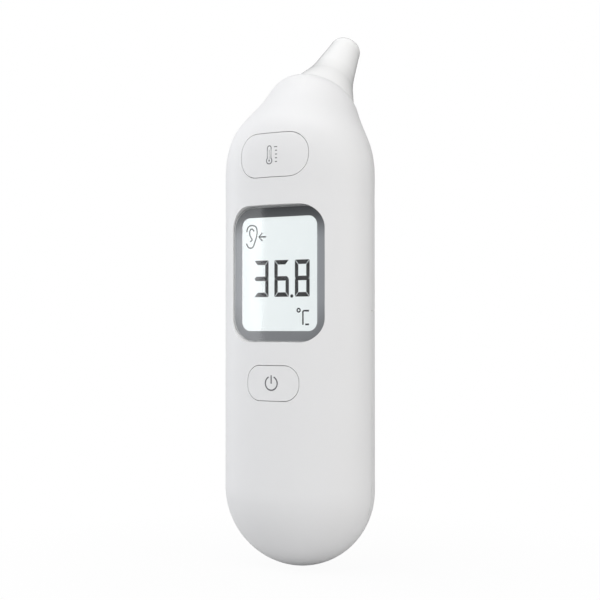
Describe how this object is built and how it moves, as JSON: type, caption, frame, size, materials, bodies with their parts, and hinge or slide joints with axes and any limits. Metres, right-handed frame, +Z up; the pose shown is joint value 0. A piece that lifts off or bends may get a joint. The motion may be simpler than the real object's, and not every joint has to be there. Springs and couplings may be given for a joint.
{
  "type": "ear thermometer",
  "caption": "Hand-held digital ear thermometer: oval tapered body, backlit display, measure and power buttons, angled probe with removable cover, sliding battery cover.",
  "frame": {"origin": "lower end of the body, on its long axis", "axes": "+Z up the long axis to the probe end, display facing -Y, probe leaning towards +Y, +X to the right of someone facing the display"},
  "size_m": [0.0472, 0.0495, 0.161],
  "materials": {
    "housing_white": "smooth satin moulded ABS",
    "button_white": "smooth satin moulded ABS with a grey printed symbol",
    "probe_white": "thin glossy polypropylene",
    "window_clear": "polished clear acrylic",
    "mask_grey": "grey ink printed behind the window",
    "tape_black": "black foam adhesive tape",
    "lcd_glass": "liquid crystal glass, lit pale green-white",
    "light_guide": "milky light guide",
    "frame_white": "moulded holder",
    "strip_rubber": "layered conductive silicone",
    "board_green": "solder-masked glass fibre board",
    "chip_black": "moulded epoxy",
    "component_ceramic": "ceramic with tinned ends",
    "crystal_can": "drawn steel can",
    "buzzer_black": "moulded case",
    "connector_ivory": "moulded nylon",
    "switch_black": "moulded nylon",
    "switch_metal": "stamped steel frame",
    "tray_grey": "moulded ABS",
    "cell_wrap": "printed film over a steel can",
    "contact_nickel": "nickel-plated spring steel",
    "nozzle_grey": "moulded ABS",
    "guide_gold": "gold-plated brass",
    "film_clear": "clear film window",
    "holder_aluminium": "turned aluminium",
    "sensor_nickel": "nickel-plated can",
    "pin_gold": "gold-plated pins",
    "ribbon_amber": "polyimide film cable",
    "screw_steel": "zinc-plated steel"
  },
  "bodies": {
    "housing": {"front_shell": "housing_white", "rear_shell": "housing_white", "display_window": "window_clear", "display_mask": "mask_grey", "window_tape": "tape_black", "lcd_panel": "lcd_glass", "lcd_backlight": "light_guide", "lcd_frame": "frame_white", "contact_strips": "strip_rubber", "main_board": "board_green", "controller_chip": "chip_black", "board_components": "component_ceramic", "quartz_crystal": "crystal_can", "buzzer": "buzzer_black", "ribbon_connector": "connector_ivory", "measure_switch": "switch_metal", "power_switch": "switch_metal", "battery_tray": "tray_grey", "battery_left": "cell_wrap", "battery_right": "cell_wrap", "battery_link_contact": "contact_nickel", "battery_positive_contact": "contact_nickel", "battery_negative_contact": "contact_nickel", "probe_nozzle": "nozzle_grey", "waveguide_tube": "guide_gold", "probe_window": "film_clear", "sensor_holder": "holder_aluminium", "thermopile_sensor": "sensor_nickel", "sensor_pins": "pin_gold", "sensor_board": "board_green", "probe_screws": "screw_steel", "sensor_ribbon": "ribbon_amber", "board_screws": "screw_steel", "tray_screws": "screw_steel", "case_screws": "screw_steel"},
    "measure_button": {"measure_button": "button_white", "measure_plunger": "switch_black"},
    "power_button": {"power_button": "button_white", "power_plunger": "switch_black"},
    "probe_cover": {"probe_cover": "probe_white"},
    "battery_cover": {"battery_cover": "housing_white"}
  },
  "joints": [
    {"name": "measure_button_press", "type": "slide", "parent": "housing", "child": "measure_button", "axis": [0, 1, 0], "range_m": [0, 0.0005], "stiffness_N_per_m": 1500, "springref_m": -0.0006},
    {"name": "power_button_press", "type": "slide", "parent": "housing", "child": "power_button", "axis": [0, 1, 0], "range_m": [0, 0.0005], "stiffness_N_per_m": 1500, "springref_m": -0.0006},
    {"name": "probe_cover_slide", "type": "slide", "parent": "housing", "child": "probe_cover", "axis": [0, 0.66, 0.7513], "range_m": [0, 0.036]},
    {"name": "battery_cover_slide", "type": "slide", "parent": "housing", "child": "battery_cover", "axis": [0, 0, -1], "range_m": [0, 0.078]}
  ]
}
